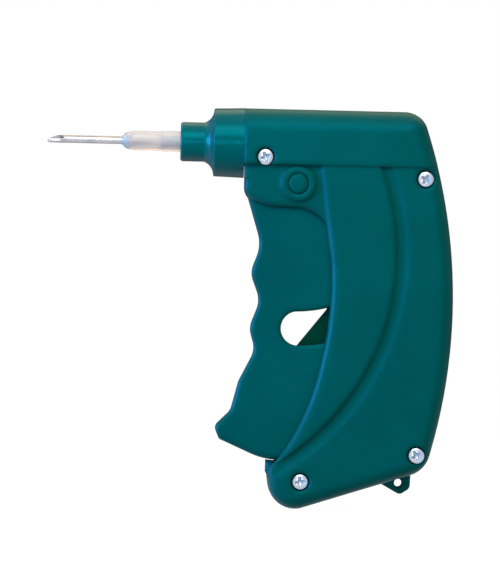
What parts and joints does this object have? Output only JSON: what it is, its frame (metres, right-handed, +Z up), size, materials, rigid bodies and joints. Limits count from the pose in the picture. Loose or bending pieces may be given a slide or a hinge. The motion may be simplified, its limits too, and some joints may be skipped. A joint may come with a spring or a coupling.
{
  "type": "microchip implanter",
  "caption": "Trigger operated livestock implanter with a curved pistol grip, stepped nosepiece and push rod behind a pull-off bevelled needle on a translucent hub.",
  "frame": {"origin": "on the needle's axis at the heel of its bevel, where the tube's wall is first closed all round", "axes": "-X along the needle towards its point, +Z up from the grip to the barrel, Y across the tool with the screw heads on the -Y side"},
  "size_m": [0.1477, 0.026, 0.1442],
  "materials": {
    "shell_plastic": "moulded, semi-gloss",
    "nose_plastic": "moulded, semi-gloss",
    "trigger_plastic": "moulded, semi-gloss",
    "lever_plastic": "moulded, satin",
    "carriage_plastic": "moulded, satin",
    "screw_zinc": "bright zinc plate",
    "pin_steel": "ground",
    "rod_steel": "ground",
    "spring_steel": "drawn wire",
    "bumper_rubber": "matt",
    "bush_plastic": "satin",
    "bush_bronze": "sintered, oiled",
    "luer_metal": "nickel plated",
    "needle_steel": "ground and polished stainless steel",
    "hub_plastic": "translucent, semi-gloss",
    "glue": "clear, cured"
  },
  "bodies": {
    "body": {"left_shell": "shell_plastic", "right_shell": "shell_plastic", "shell_screws": "screw_zinc", "shell_dowels": "pin_steel", "rear_bumper": "bumper_rubber", "nosepiece": "nose_plastic", "luer_tip": "luer_metal", "rod_guide_bush": "bush_plastic", "lever_pivot_pin": "pin_steel", "return_spring": "spring_steel"},
    "trigger": {"trigger": "trigger_plastic"},
    "lever": {"drive_lever": "lever_plastic", "lever_bush": "bush_bronze", "drive_pin": "pin_steel", "nose_pin": "pin_steel"},
    "plunger": {"rod_carriage": "carriage_plastic", "rod_set_screw": "pin_steel", "push_rod": "rod_steel", "spring_washer": "pin_steel"},
    "needle": {"needle_hub": "hub_plastic", "needle_cannula": "needle_steel", "needle_adhesive": "glue"}
  },
  "joints": [
    {"name": "trigger_squeeze", "type": "hinge", "parent": "body", "child": "trigger", "pos_m": [0.08478, 0, -0.0146], "axis": [0, -1, 0], "range_deg": [0, 18.5], "stiffness_Nm_per_rad": 1.6, "springref_deg": -5.73},
    {"name": "lever_swing", "type": "hinge", "parent": "body", "child": "lever", "pos_m": [0.10284, 0, -0.06342], "axis": [0, -1, 0], "range_deg": [0, 32.5]},
    {"name": "plunger_slide", "type": "slide", "parent": "body", "child": "plunger", "axis": [-1, 0, 0], "range_m": [0, 0.03651], "deforming": ["return_spring"]},
    {"name": "needle_pull", "type": "slide", "parent": "body", "child": "needle", "axis": [-1, 0, 0], "range_m": [0, 0.02]}
  ],
  "couplings": [
    {"joint": "lever_swing", "follows": "trigger_squeeze", "ratio": 1.7568},
    {"joint": "plunger_slide", "follows": "trigger_squeeze", "m_per_rad": 0.11309}
  ]
}
